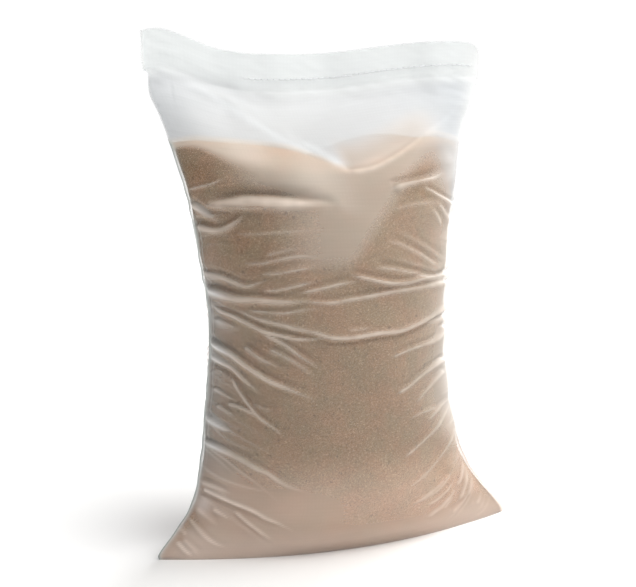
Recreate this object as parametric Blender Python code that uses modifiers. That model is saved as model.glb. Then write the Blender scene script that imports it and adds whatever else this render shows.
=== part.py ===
"""A bag of sand: a clear woven plastic sack, three quarters full, standing on its sewn bottom, with its mouth
turned over to the back and closed by one row of chain stitch. Lying flat and empty, the sack is 510 mm wide.

Units are metres and +Z is up. The origin is on the floor, in the middle of the bag. The front faces -Y.
"""

import math

import bpy
import bmesh
import numpy as np

# The empty sack is a flat tube; its film is drawn thicker than the real 0.15 mm, so that it stays a solid.
STANDING_HEIGHT = 0.690
PANEL_THICKNESS = 0.0006
HALF_FLAT_THICKNESS = 0.0008

# The closed mouth: both panels turned over to the back together, and sewn through once.
HEM_DEPTH = 0.050
STITCH_BELOW_TOP = 0.034
TURN_RADIUS = 0.0015
TURN_STEPS = 4
FLAP_STEPS = 4
THREAD_RADIUS = 0.0006
THREAD_GAP = 0.0006
THREAD_END_MARGIN = 0.008

# How the bag's section changes as it rises: height, width to the left and to the right of the middle, how far the
# front and the back stand from the side folds, where the side folds lie in depth, and how pointed the section is
# at them (1 round, 2 a sharp lens).
SECTIONS = (
    (0.000, 0.256, 0.256, 0.043, 0.085, -0.015, 2.00),
    (0.006, 0.257, 0.257, 0.056, 0.096, -0.015, 2.00),
    (0.020, 0.246, 0.248, 0.074, 0.106, -0.014, 1.95),
    (0.045, 0.225, 0.230, 0.090, 0.114, -0.012, 1.80),
    (0.075, 0.206, 0.211, 0.101, 0.120, -0.010, 1.60),
    (0.110, 0.198, 0.193, 0.112, 0.126, -0.008, 1.40),
    (0.160, 0.191, 0.178, 0.124, 0.132, -0.005, 1.20),
    (0.220, 0.184, 0.164, 0.133, 0.136, -0.002, 1.08),
    (0.290, 0.179, 0.157, 0.139, 0.137, 0.000, 1.04),
    (0.360, 0.184, 0.161, 0.135, 0.135, 0.003, 1.06),
    (0.430, 0.196, 0.174, 0.126, 0.124, 0.007, 1.15),
    (0.480, 0.205, 0.186, 0.112, 0.110, 0.011, 1.30),
    (0.515, 0.216, 0.193, 0.094, 0.092, 0.015, 1.40),
    (0.545, 0.225, 0.201, 0.069, 0.067, 0.019, 1.45),
    (0.575, 0.235, 0.211, 0.040, 0.038, 0.024, 1.40),
    (0.600, 0.245, 0.223, 0.018, 0.017, 0.028, 1.20),
    (0.620, 0.250, 0.232, 0.006, 0.006, 0.034, 0.60),
    (0.640, 0.253, 0.241, 0.0008, 0.0008, 0.036, 0.12),
    (0.652, 0.255, 0.243, 0.0008, 0.0008, 0.036, 0.12),
    (0.690, 0.256, 0.244, 0.0008, 0.0008, 0.036, 0.12),
)

# Heights at which the sack's rings are made, closer together where it curves most and across the deep fold.
RING_HEIGHTS = (
    0.0, 0.006, 0.013, 0.022, 0.035, 0.052, 0.075, 0.098, 0.118, 0.135, 0.152, 0.175, 0.200, 0.220, 0.237, 0.254,
    0.270, 0.285, 0.298, 0.311, 0.323, 0.335, 0.346, 0.358, 0.368, 0.380, 0.400, 0.422, 0.440, 0.450, 0.458, 0.464,
    0.470, 0.476, 0.482, 0.490, 0.500, 0.512, 0.526, 0.542, 0.558, 0.574, 0.590, 0.605, 0.622, 0.640, 0.665,
)
RING_POINTS = 48
BASE_MARGIN = 0.94

# The top edge sags between its corners: place across the bag, and height.
TOP_EDGE = (
    (-0.256, 0.686), (-0.231, 0.690), (-0.206, 0.684), (-0.172, 0.672), (-0.145, 0.665), (-0.097, 0.661),
    (0.001, 0.666), (0.107, 0.681), (0.163, 0.687), (0.219, 0.689), (0.236, 0.686), (0.244, 0.676),
)
SAG_STARTS_AT = 0.48
SAG_FULL_AT = 0.625

# The main folds of the front, which the sand fills too: how far each stands out (or in, below 0), its half width,
# and its route as places across and heights. The first two are the deep fold under the left shoulder and its lip.
MAIN_FOLDS = (
    (-0.0105, 0.0090, ((-0.185, 0.468), (-0.158, 0.478), (-0.121, 0.479), (-0.075, 0.473), (-0.035, 0.467))),
    (0.0046, 0.0070, ((-0.188, 0.462), (-0.160, 0.459), (-0.124, 0.457), (-0.089, 0.460), (-0.040, 0.463))),
    (0.0060, 0.0240, ((-0.218, 0.627), (-0.147, 0.599), (-0.104, 0.566), (-0.052, 0.535))),
    (0.0024, 0.0100, ((-0.183, 0.353), (-0.161, 0.346), (-0.113, 0.344), (-0.073, 0.346))),
    (0.0026, 0.0100, ((-0.181, 0.334), (-0.162, 0.324), (-0.133, 0.305), (-0.101, 0.299), (-0.062, 0.299))),
    (0.0026, 0.0100, ((-0.179, 0.285), (-0.165, 0.273), (-0.143, 0.254), (-0.109, 0.236), (-0.075, 0.221))),
    (0.0020, 0.0100, ((-0.190, 0.152), (-0.159, 0.139), (-0.109, 0.107))),
    (0.0030, 0.0100, ((-0.027, 0.375), (0.019, 0.365), (0.071, 0.367), (0.120, 0.366))),
    (0.0024, 0.0100, ((-0.098, 0.312), (-0.062, 0.299), (-0.002, 0.301), (0.051, 0.308), (0.108, 0.320))),
    (0.0034, 0.0090, ((0.041, 0.484), (0.082, 0.490), (0.118, 0.497))),
)
FOLD_FALL = 1.6
FOLD_SHARPNESS = 1.6
FOLD_STARTS_FAST = 0.6
FOLD_ENDS_BLUNT = 0.7
FOLDS_END_FROM = 0.595
FOLDS_END_AT = 0.630
SMOOTH_BESIDE_SIDE_FOLD = 0.2
DEEPEST_SHARE = 0.6

# The empty top waves forward and back, both panels together: size, length and phase of each wave.
TOP_WAVES = ((0.0030, 0.26, 0.8), (0.0016, 0.13, 2.2))
TOP_WAVES_FROM = 0.545
TOP_WAVES_FULL_AT = 0.630

# The sand: where its surface meets the front and the back panel, as place across the bag and height.
SAND_AT_FRONT = (
    (-0.226, 0.542), (-0.200, 0.547), (-0.140, 0.542), (-0.084, 0.5345), (-0.028, 0.511), (0.004, 0.508),
    (0.061, 0.525), (0.111, 0.547), (0.135, 0.554), (0.164, 0.552), (0.200, 0.545),
)
SAND_AT_BACK = (
    (-0.226, 0.542), (-0.156, 0.538), (-0.066, 0.522), (-0.030, 0.521), (0.000, 0.527), (0.054, 0.5465),
    (0.090, 0.555), (0.114, 0.556), (0.164, 0.552), (0.200, 0.545),
)
SAND_INSET = 0.0026
SAND_LIFT = 0.0009
EAR_SLACK = 0.030
EAR_SLACK_UP_TO = 0.110
SAND_RINGS_UP_TO = 0.490
SAND_RINGS_TO_SURFACE = 6
SAND_ROWS_ACROSS = 4

FILM_COLOUR = (0.86, 0.87, 0.88, 1.0)
SAND_COLOUR = (0.40, 0.28, 0.19, 1.0)
THREAD_COLOUR = (0.78, 0.79, 0.80, 1.0)

COLLECTION_NAME = "bag_of_sand"


def clear_scene():
    for thing in list(bpy.data.objects):
        bpy.data.objects.remove(thing, do_unlink=True)


def new_material(name, colour, roughness):
    material = bpy.data.materials.new(name)
    material.use_nodes = True
    shader = material.node_tree.nodes["Principled BSDF"]
    shader.inputs["Base Color"].default_value = colour
    shader.inputs["Roughness"].default_value = roughness
    shader.inputs["Metallic"].default_value = 0.0
    return material


def smooth_between(points, at):
    """The value at one place of a smooth curve through (place, value, ...) points."""
    table = np.array(points, float)
    places = table[:, 0]
    values = table[:, 1:]
    at = min(max(at, places[0]), places[-1])
    after = min(max(int(np.searchsorted(places, at)), 1), len(places) - 1)
    before = after - 1
    span = places[after] - places[before]
    share = (at - places[before]) / span

    def slope(index):
        low = max(index - 1, 0)
        high = min(index + 1, len(places) - 1)
        return (values[high] - values[low]) / (places[high] - places[low])

    start = values[before]
    end = values[after]
    keep_start = 2 * share**3 - 3 * share**2 + 1
    keep_end = 1 - keep_start
    pull_start = share**3 - 2 * share**2 + share
    pull_end = share**3 - share**2
    return keep_start * start + keep_end * end + span * (pull_start * slope(before) + pull_end * slope(after))


def eased(value, low, high):
    """0 below low, 1 above high, and a soft step between."""
    share = min(max((value - low) / (high - low), 0.0), 1.0)
    return share * share * (3 - 2 * share)


def sag_at(across, height):
    """How far the film has sunk at a point, because the empty top hangs between its two corners."""
    drop = STANDING_HEIGHT - float(smooth_between(TOP_EDGE, across)[0])
    return drop * eased(height, SAG_STARTS_AT, SAG_FULL_AT)


def top_wave(across, height):
    """How far the empty top stands back at a point."""
    wave = sum(size * math.sin(2 * math.pi * across / length + phase) for size, length, phase in TOP_WAVES)
    return wave * eased(height, TOP_WAVES_FROM, TOP_WAVES_FULL_AT)


def main_relief(across, height):
    """How far the front stands out at a point, on its main folds."""
    spot = np.array((across, height))
    relief = 0.0
    for stand, half_width, route in MAIN_FOLDS:
        points = np.array(route)
        nearest = math.inf
        for first, second in zip(points, points[1:]):
            step = second - first
            share = min(max(float((spot - first) @ step / (step @ step)), 0.0), 1.0)
            nearest = min(nearest, float(np.linalg.norm(spot - first - share * step)))
        along = (across - points[0, 0]) / (points[-1, 0] - points[0, 0])
        along = min(max(float(along), 0.0), 1.0)
        strength = max(math.sin(math.pi * along**FOLD_STARTS_FAST), 0.0) ** FOLD_ENDS_BLUNT
        relief += stand * strength * math.exp(-FOLD_FALL * (nearest / half_width) ** FOLD_SHARPNESS)
    return relief * (1 - eased(height, FOLDS_END_FROM, FOLDS_END_AT))


def across_at(angle, left, right):
    """Place across the bag at one angle of a ring whose left and right halves differ in width."""
    return (right if math.cos(angle) > 0 else left) * math.cos(angle)


def film_point(angle, height, inset=0.0, slack=0.0):
    """A point of the film at one angle and height. Angle 0 is the fold on the right, 90 degrees the back."""
    left, right, front, back, fold_depth, pointed = smooth_between(SECTIONS, height)
    across = across_at(angle, left - inset - slack, right - inset - slack)
    reach = (back if math.sin(angle) > 0 else front) - inset
    off_fold = reach * abs(math.sin(angle)) ** pointed
    sunk = height - sag_at(across, height)
    if math.sin(angle) < 0:
        away = min(abs(math.sin(angle)) / SMOOTH_BESIDE_SIDE_FOLD, 1.0)
        off_fold += max(away * main_relief(across, sunk), -DEEPEST_SHARE * off_fold)
    return across, fold_depth + math.copysign(off_fold, math.sin(angle)) + top_wave(across, sunk), sunk


def ring_angles():
    return [2 * math.pi * step / RING_POINTS for step in range(RING_POINTS)]


def standing_ring(height):
    """One ring of the standing part of the sack."""
    return [film_point(angle, height) for angle in ring_angles()]


def flat_ring(turned, down):
    """One ring of the flat, closed top: turned over by an angle about the fold, then so far down the back."""
    left, right, _, _, fold_depth, pointed = smooth_between(SECTIONS, STANDING_HEIGHT)
    centre_depth = fold_depth + TURN_RADIUS * (1 - math.cos(turned))
    lift = TURN_RADIUS * math.sin(turned)
    ring = []
    for angle in ring_angles():
        across = across_at(angle, left, right)
        off_middle = math.copysign(HALF_FLAT_THICKNESS * abs(math.sin(angle)) ** pointed, math.sin(angle))
        top = float(smooth_between(TOP_EDGE, across)[0]) - TURN_RADIUS - HALF_FLAT_THICKNESS
        height = top + lift - off_middle * math.sin(turned) - down
        depth = centre_depth + off_middle * math.cos(turned) + top_wave(across, height)
        ring.append((across, depth, height))
    return ring


def skin_rings(bm, rings):
    """Joins each ring to the next with four-sided faces, and returns the vertices ring by ring."""
    rows = [[bm.verts.new(point) for point in ring] for ring in rings]
    for lower, upper in zip(rows, rows[1:]):
        count = len(lower)
        for step in range(count):
            after = (step + 1) % count
            bm.faces.new((lower[step], lower[after], upper[after], upper[step]))
    return rows


def finish_mesh(name, bm, material, collection):
    bmesh.ops.recalc_face_normals(bm, faces=bm.faces)
    mesh = bpy.data.meshes.new(name)
    bm.to_mesh(mesh)
    bm.free()
    mesh.shade_smooth()
    mesh.materials.append(material)
    piece = bpy.data.objects.new(name, mesh)
    collection.objects.link(piece)
    return piece


def make_sack(collection, film):
    """The woven sack: one tube, closed flat at the bottom, turned over at the top, open only at its mouth."""
    outline = standing_ring(0.0)
    middle = float(np.mean([point[1] for point in outline]))
    inner_base = [(x * BASE_MARGIN, middle + (y - middle) * BASE_MARGIN, 0.0) for x, y, _ in outline]
    rings = [inner_base]
    for height in RING_HEIGHTS:
        rings.append(standing_ring(height))
    for step in range(TURN_STEPS + 1):
        rings.append(flat_ring(math.pi * step / TURN_STEPS, 0.0))
    for step in range(1, FLAP_STEPS + 1):
        rings.append(flat_ring(math.pi, HEM_DEPTH * step / FLAP_STEPS))

    bm = bmesh.new()
    rows = skin_rings(bm, rings)
    bm.faces.new(list(reversed(rows[0])))
    sack = finish_mesh("sack", bm, film, collection)
    wall = sack.modifiers.new("wall", "SOLIDIFY")
    wall.thickness = PANEL_THICKNESS
    wall.offset = -1.0
    return sack


def sand_surface(across, share_back):
    """Height of the sand's surface at a place, from the front panel (0) to the back panel (1)."""
    front = float(smooth_between(SAND_AT_FRONT, across)[0])
    back = float(smooth_between(SAND_AT_BACK, across)[0])
    return front + (back - front) * share_back


def sand_ring_point(angle, height):
    """A point of the sand just inside the film. The sand stays out of the sack's flat bottom corners."""
    low_share = max(0.0, 1 - height / EAR_SLACK_UP_TO)
    across, depth, sunk = film_point(angle, height, inset=SAND_INSET, slack=EAR_SLACK * low_share)
    return across, depth, sunk + SAND_LIFT * low_share


def make_sand(collection, grit):
    """The loose sand, as one solid that fills the sack and ends in a mounded, dipped surface."""
    angles = ring_angles()
    rings = []
    for height in RING_HEIGHTS:
        if height <= SAND_RINGS_UP_TO:
            rings.append([sand_ring_point(angle, height) for angle in angles])
    for step in range(1, SAND_RINGS_TO_SURFACE + 1):
        share = step / SAND_RINGS_TO_SURFACE
        ring = []
        for angle in angles:
            across_guess, _, _ = sand_ring_point(angle, SAND_RINGS_UP_TO)
            surface = sand_surface(across_guess, 1.0 if math.sin(angle) > 0 else 0.0)
            surface += sag_at(across_guess, surface)
            height = SAND_RINGS_UP_TO + share * (surface - SAND_RINGS_UP_TO)
            ring.append(sand_ring_point(angle, height))
        rings.append(ring)

    bm = bmesh.new()
    rows = skin_rings(bm, rings)
    bm.faces.new(list(reversed(rows[0])))
    close_sand_surface(bm, rows[-1])
    return finish_mesh("sand_fill", bm, grit, collection)


def close_sand_surface(bm, rim):
    """Rows of faces from the front of the rim to its back, the rim's first and middle points being the folds."""
    half = len(rim) // 2
    columns = []
    for step in range(1, half):
        back = rim[step]
        front = rim[-step]
        column = [front]
        for row in range(1, SAND_ROWS_ACROSS):
            column.append(bm.verts.new(front.co.lerp(back.co, row / SAND_ROWS_ACROSS)))
        column.append(back)
        columns.append(column)
    for near, far in zip(columns, columns[1:]):
        for row in range(SAND_ROWS_ACROSS):
            bm.faces.new((near[row], near[row + 1], far[row + 1], far[row]))
    for fold, column in ((rim[0], columns[0]), (rim[half], columns[-1])):
        for row in range(SAND_ROWS_ACROSS):
            bm.faces.new((fold, column[row], column[row + 1]))


def make_thread(name, depth, collection, yarn):
    """One of the two threads of the chain stitch: a line of even distance below the sagging top edge."""
    left, right, _, _, _, _ = smooth_between(SECTIONS, STANDING_HEIGHT - STITCH_BELOW_TOP)
    half_ring = ring_angles()[: RING_POINTS // 2 + 1]
    # Its points stand over those of the sack's rings, so that it follows the waves without touching the film.
    acrosses = [across_at(angle, left, right) for angle in reversed(half_ring)][1:-1]
    acrosses = [across for across in acrosses if THREAD_END_MARGIN - left < across < right - THREAD_END_MARGIN]
    curve = bpy.data.curves.new(name, "CURVE")
    curve.dimensions = "3D"
    curve.bevel_depth = THREAD_RADIUS
    curve.bevel_resolution = 1
    curve.use_fill_caps = True
    curve.render_resolution_u = 0
    line = curve.splines.new("POLY")
    line.points.add(len(acrosses) - 1)
    for across, point in zip(acrosses, line.points):
        height = float(smooth_between(TOP_EDGE, across)[0]) - STITCH_BELOW_TOP
        point.co = (across, depth + top_wave(across, height), height, 1.0)
    curve.materials.append(yarn)
    thread = bpy.data.objects.new(name, curve)
    collection.objects.link(thread)
    return thread


def make_bag():
    clear_scene()
    collection = bpy.data.collections.new(COLLECTION_NAME)
    bpy.context.scene.collection.children.link(collection)
    film = new_material("woven_film", FILM_COLOUR, 0.40)
    grit = new_material("sand", SAND_COLOUR, 0.95)
    yarn = new_material("sewing_thread", THREAD_COLOUR, 0.70)

    make_sack(collection, film)
    make_sand(collection, grit)

    fold_depth = SECTIONS[-1][5]
    off_panel = HALF_FLAT_THICKNESS + THREAD_GAP + THREAD_RADIUS
    make_thread("needle_thread", fold_depth - off_panel, collection, yarn)
    make_thread("looper_thread", fold_depth + 2 * TURN_RADIUS + off_panel, collection, yarn)


make_bag()
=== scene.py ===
import math

import bpy
import numpy as np
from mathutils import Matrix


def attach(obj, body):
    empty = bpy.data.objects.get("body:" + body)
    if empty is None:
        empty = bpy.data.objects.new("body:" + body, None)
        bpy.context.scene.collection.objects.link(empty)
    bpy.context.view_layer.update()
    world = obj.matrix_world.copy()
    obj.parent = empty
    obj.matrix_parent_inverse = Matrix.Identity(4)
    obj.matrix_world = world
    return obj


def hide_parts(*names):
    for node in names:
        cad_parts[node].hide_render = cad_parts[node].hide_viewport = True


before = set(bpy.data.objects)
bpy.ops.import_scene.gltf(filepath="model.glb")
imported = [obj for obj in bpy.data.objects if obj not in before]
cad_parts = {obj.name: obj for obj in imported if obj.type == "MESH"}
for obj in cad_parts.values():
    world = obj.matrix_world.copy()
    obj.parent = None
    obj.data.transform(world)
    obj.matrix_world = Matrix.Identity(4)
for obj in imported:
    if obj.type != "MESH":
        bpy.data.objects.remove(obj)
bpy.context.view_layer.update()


# The viewpoint: a hand-held camera in front of the bag and to its left, at about three quarters of its height,
# looking slightly down. The creases that the photograph shows are traced in its pixels, so the same few numbers
# aim the camera and put each crease on the film.
PICTURE_WIDTH = 636
PICTURE_HEIGHT = 587
FOCAL_PIXELS = 1100.0
SENSOR_WIDTH = 36.0
CAMERA_PLACE = (-0.5919, -1.3776, 0.5281)
TURNED_RIGHT = math.radians(22.33)
TILTED_DOWN = math.radians(7.23)

camera_data = bpy.data.cameras.new("front_camera")
camera_data.sensor_width = SENSOR_WIDTH
camera_data.lens = FOCAL_PIXELS * SENSOR_WIDTH / PICTURE_WIDTH
camera = bpy.data.objects.new("front_camera", camera_data)
camera.location = CAMERA_PLACE
camera.rotation_euler = (math.pi / 2 - TILTED_DOWN, 0.0, -TURNED_RIGHT)
bpy.context.scene.collection.objects.link(camera)
bpy.context.scene.camera = camera


def pixels_of(points):
    """Where points in space fall in the photograph, in its pixels."""
    sin_turn, cos_turn = math.sin(TURNED_RIGHT), math.cos(TURNED_RIGHT)
    sin_tilt, cos_tilt = math.sin(TILTED_DOWN), math.cos(TILTED_DOWN)
    forward = np.array((sin_turn * cos_tilt, cos_turn * cos_tilt, -sin_tilt))
    rightward = np.array((cos_turn, -sin_turn, 0.0))
    upward = np.cross(rightward, forward)
    away = np.asarray(points) - np.array(CAMERA_PLACE)
    depth = away @ forward
    column = PICTURE_WIDTH / 2 + FOCAL_PIXELS * (away @ rightward) / depth
    row = PICTURE_HEIGHT / 2 - FOCAL_PIXELS * (away @ upward) / depth
    return np.stack((column, row), axis=-1)


# The ground and the light: a plain white floor, a white room, one high soft light in front of the bag and to its
# right, and a lower one behind its right side. Its shoulder and right side are bright and its shadow falls to the left.
FLOOR_SIZE = 40.0
FLOOR_COLOUR = (0.85, 0.855, 0.86, 1.0)
ROOM_LIGHT = 0.24
ROOM_SEEN = 1.05

# Each lamp: name, strength, width, height above the floor and angle to the right of straight in front (in degrees), and
# colour.
LAMPS = (
    ("soft_sun", 3.5, 50.0, 58.0, 52.0, (1.0, 0.985, 0.96)),
    ("rim_lamp", 3.0, 25.0, 24.0, 122.0, (1.0, 1.0, 1.0)),
)


class Shade:
    """One socket of a node tree. Arithmetic on it adds Math nodes, and make() adds any other node."""

    def __init__(self, tree, socket=None):
        self.tree = tree
        self.socket = socket

    def make(self, kind, settings=None, inputs=None, output=0):
        node = self.tree.nodes.new("ShaderNode" + kind)
        for name, value in (settings or {}).items():
            setattr(node, name, value)
        for name, value in (inputs or {}).items():
            if isinstance(value, Shade):
                self.tree.links.new(value.socket, node.inputs[name])
            else:
                node.inputs[name].default_value = value
        return Shade(self.tree, node.outputs[output])

    def maths(self, operation, first, second=0.0):
        return self.make("Math", {"operation": operation}, {0: first, 1: second})

    def __add__(self, other):
        return self.maths("ADD", self, other)

    def __sub__(self, other):
        return self.maths("SUBTRACT", self, other)

    def __mul__(self, other):
        return self.maths("MULTIPLY", self, other)

    def cells(self, scale, output):
        """Voronoi cells at this place, scale of them a metre."""
        return self.make("TexVoronoi", None, {"Vector": self, "Scale": scale}, output)

    def noise(self, scale, detail, roughness=0.5):
        """Noise at this place, scale waves a metre."""
        inputs = {"Vector": self, "Scale": scale, "Detail": detail, "Roughness": roughness}
        return self.make("TexNoise", None, inputs, "Fac")

    def bump(self, strength, distance):
        """The normal of a surface that has this height."""
        return self.make("Bump", None, {"Strength": strength, "Distance": distance, "Height": self}, "Normal")

    def ramp(self, *stops):
        """The colour, (red, green, blue), that stands at this factor between stops."""
        shade = self.make("ValToRGB", None, {"Fac": self}, "Color")
        elements = shade.socket.node.color_ramp.elements
        while len(elements) < len(stops):
            elements.new(1.0)
        for element, (place, colour) in zip(elements, stops):
            element.position = place
            element.color = (*colour, 1.0)
        return shade

    def tinted(self, colour, share=1.0):
        """This colour multiplied by another, by a share."""
        return self.make("Mix", {"data_type": "RGBA", "blend_type": "MULTIPLY"}, {0: share, 6: self, 7: colour}, 2)


def new_material(name):
    """An empty material, with the Shade that starts its tree and its Principled shader."""
    material = bpy.data.materials.new(name)
    material.use_nodes = True
    tree = material.node_tree
    return material, Shade(tree), tree.nodes["Principled BSDF"]


def feed(shader, **sockets):
    """Sets or links the shader's sockets, whose names are given with _ for each space."""
    for name, value in sockets.items():
        socket = shader.inputs[name.replace("_", " ")]
        if isinstance(value, Shade):
            value.tree.links.new(value.socket, socket)
        else:
            socket.default_value = value


floor_material, shade, shader = new_material("white_floor")
feed(shader, Base_Color=FLOOR_COLOUR, Roughness=0.85)
bpy.ops.mesh.primitive_plane_add(size=FLOOR_SIZE, location=(0.0, 0.0, 0.0))
floor = bpy.context.active_object
floor.name = "floor"
floor.data.materials.append(floor_material)

world = bpy.data.worlds.new("white_room")
bpy.context.scene.world = world
world.use_nodes = True
seen = Shade(world.node_tree).make("LightPath", output="Is Camera Ray")
room_strength = seen * (ROOM_SEEN - ROOM_LIGHT) + ROOM_LIGHT
room_background = world.node_tree.nodes["Background"]
room_background.inputs["Color"].default_value = (1.0, 1.0, 1.0, 1.0)
world.node_tree.links.new(room_strength.socket, room_background.inputs["Strength"])

for name, strength, width, height, to_the_right, colour in LAMPS:
    lamp_data = bpy.data.lights.new(name, "SUN")
    lamp_data.energy = strength
    lamp_data.angle = math.radians(width)
    lamp_data.color = colour
    lamp = bpy.data.objects.new(name, lamp_data)
    lamp.rotation_euler = (math.pi / 2 - math.radians(height), 0.0, math.radians(to_the_right))
    bpy.context.scene.collection.objects.link(lamp)
bpy.context.scene.view_settings.view_transform = "Standard"
bpy.context.scene.cycles.transparent_max_bounces = 24


# The sack: a tube of thin clear polypropylene, woven from flat tapes. The sand pushes it out into a bag, its bottom
# is pressed flat on the floor with the two corners standing out sideways, and its empty top lies flat and is
# turned over to the back. It is one mesh, a ring of points at each height, and every crease is real relief on it.
STANDING_HEIGHT = 0.690
HALF_FLAT_THICKNESS = 0.0008
HEM_DEPTH = 0.050
TURN_RADIUS = 0.0015
TAPE_WIDTH = 0.0026
PANEL_WIDTH = 0.512

# The same section table as the solid model: height, width to the left and right, reach of the front and the back,
# depth of the side folds, and how pointed the section is at them. Only its lowest two rows differ: here the lower
# edge of the film is let down square to the floor, as the photograph shows it.
SECTIONS = (
    (0.000, 0.256, 0.256, 0.0585, 0.099, -0.015, 2.00),
    (0.006, 0.257, 0.257, 0.0605, 0.100, -0.015, 2.00),
    (0.020, 0.246, 0.248, 0.074, 0.106, -0.014, 1.95),
    (0.045, 0.225, 0.230, 0.090, 0.114, -0.012, 1.80),
    (0.075, 0.206, 0.211, 0.101, 0.120, -0.010, 1.60),
    (0.110, 0.198, 0.193, 0.112, 0.126, -0.008, 1.40),
    (0.160, 0.191, 0.178, 0.124, 0.132, -0.005, 1.20),
    (0.220, 0.184, 0.164, 0.133, 0.136, -0.002, 1.08),
    (0.290, 0.179, 0.157, 0.139, 0.137, 0.000, 1.04),
    (0.360, 0.184, 0.161, 0.135, 0.135, 0.003, 1.06),
    (0.430, 0.196, 0.174, 0.126, 0.124, 0.007, 1.15),
    (0.480, 0.205, 0.186, 0.112, 0.110, 0.011, 1.30),
    (0.515, 0.216, 0.193, 0.094, 0.092, 0.015, 1.40),
    (0.545, 0.225, 0.201, 0.069, 0.067, 0.019, 1.45),
    (0.575, 0.235, 0.211, 0.040, 0.038, 0.024, 1.40),
    (0.600, 0.245, 0.223, 0.018, 0.017, 0.028, 1.20),
    (0.620, 0.250, 0.232, 0.006, 0.006, 0.034, 0.60),
    (0.640, 0.253, 0.241, 0.0008, 0.0008, 0.036, 0.12),
    (0.652, 0.255, 0.243, 0.0008, 0.0008, 0.036, 0.12),
    (0.690, 0.256, 0.244, 0.0008, 0.0008, 0.036, 0.12),
)
TOP_EDGE = (
    (-0.256, 0.686), (-0.231, 0.690), (-0.206, 0.684), (-0.172, 0.672), (-0.145, 0.665), (-0.097, 0.661),
    (0.001, 0.666), (0.107, 0.681), (0.163, 0.687), (0.219, 0.689), (0.236, 0.686), (0.244, 0.676),
)
SAG_STARTS_AT = 0.48
SAG_FULL_AT = 0.625

# The main folds of the front, as in the solid model: how far each stands out (or in, below 0), its half width, and
# its route as places across and heights. The first two are the deep fold under the left shoulder and its lip.
MAIN_FOLDS = (
    (-0.0105, 0.0090, ((-0.185, 0.472), (-0.158, 0.482), (-0.121, 0.482), (-0.075, 0.475), (-0.035, 0.467))),
    (0.0046, 0.0070, ((-0.188, 0.465), (-0.160, 0.462), (-0.124, 0.460), (-0.089, 0.461), (-0.040, 0.463))),
    (0.0060, 0.0240, ((-0.218, 0.627), (-0.147, 0.599), (-0.104, 0.566), (-0.052, 0.535))),
    (0.0024, 0.0100, ((-0.183, 0.353), (-0.161, 0.346), (-0.113, 0.344), (-0.073, 0.346))),
    (0.0026, 0.0100, ((-0.181, 0.334), (-0.162, 0.324), (-0.133, 0.305), (-0.101, 0.299), (-0.062, 0.299))),
    (0.0026, 0.0100, ((-0.179, 0.285), (-0.165, 0.273), (-0.143, 0.254), (-0.109, 0.236), (-0.075, 0.221))),
    (0.0020, 0.0100, ((-0.190, 0.152), (-0.159, 0.139), (-0.109, 0.107))),
    (0.0030, 0.0100, ((-0.027, 0.375), (0.019, 0.365), (0.071, 0.367), (0.120, 0.366))),
    (0.0024, 0.0100, ((-0.098, 0.312), (-0.062, 0.299), (-0.002, 0.301), (0.051, 0.308), (0.108, 0.320))),
    (0.0034, 0.0090, ((0.041, 0.484), (0.082, 0.490), (0.118, 0.497))),
)
FOLD_SHARPNESS = 1.6
FOLD_FULLEST_EARLY = 0.6
FOLD_FULLNESS = 0.7
FOLD_ENDS_OVER = 0.16
FOLDS_END_FROM = 0.595
FOLDS_END_AT = 0.630

# Waves of the flat top, both panels together: height, length and phase.
TOP_WAVES = ((0.0030, 0.26, 0.8), (0.0016, 0.13, 2.2))
TOP_WAVES_FROM = 0.545
TOP_WAVES_FULL_AT = 0.630

# Height of the sand along the front and the back of the sack: the film clings below it and is free above it.
SAND_AT_FRONT = (
    (-0.226, 0.542), (-0.200, 0.547), (-0.174, 0.5455), (-0.140, 0.542), (-0.084, 0.5345), (-0.050, 0.523),
    (-0.028, 0.511), (0.004, 0.509), (0.030, 0.5155), (0.061, 0.527), (0.090, 0.539), (0.111, 0.548),
    (0.135, 0.554), (0.164, 0.552), (0.200, 0.545),
)
SAND_AT_BACK = (
    (-0.226, 0.542), (-0.156, 0.538), (-0.066, 0.523), (-0.030, 0.524), (0.000, 0.531), (0.030, 0.542),
    (0.054, 0.551), (0.090, 0.558), (0.114, 0.558), (0.164, 0.552), (0.200, 0.545),
)

# The mesh: columns round the bag, closer together near the side folds, and rows, finer where the creases are.
FRONT_COLUMNS = 186
BACK_COLUMNS = 92
SIDES_FINER = 1.8
FOLDED_WITHIN = (0.14, 0.34)
BASE_SHARES = (0.15, 0.35, 0.55, 0.75, 0.90, 0.97)
FLAT_FROM = 0.640
TURNS_WITHIN = 0.004
FINE_ROW = 0.00205
TOP_ROW = 0.0035
RING_STEPS = 500
TURN_ROWS = 5
FLAP_ROWS = 13


def smooth_between(points, places):
    """Values at many places of a smooth curve through (place, value, ...) points."""
    table = np.array(points, float)
    marks, values = table[:, 0], table[:, 1:]
    count = len(marks)
    before_mark = np.maximum(np.arange(count) - 1, 0)
    after_mark = np.minimum(np.arange(count) + 1, count - 1)
    slopes = (values[after_mark] - values[before_mark]) / (marks[after_mark] - marks[before_mark])[:, None]
    places = np.clip(np.atleast_1d(np.asarray(places, float)), marks[0], marks[-1])
    after = np.clip(np.searchsorted(marks, places), 1, count - 1)
    before = after - 1
    span = (marks[after] - marks[before])[:, None]
    share = (places[:, None] - marks[before][:, None]) / span
    keep_start = 2 * share**3 - 3 * share**2 + 1
    pull_start = share**3 - 2 * share**2 + share
    pull_end = share**3 - share**2
    return (
        keep_start * values[before]
        + (1 - keep_start) * values[after]
        + span * (pull_start * slopes[before] + pull_end * slopes[after])
    )


def curve_at(points, places):
    """Values at many places of a smooth curve through (place, value) points."""
    return smooth_between(points, places)[:, 0]


def eased(values, low, high):
    """0 below low, 1 above high, and a soft step between."""
    share = np.clip((values - low) / (high - low), 0.0, 1.0)
    return share * share * (3 - 2 * share)


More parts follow.
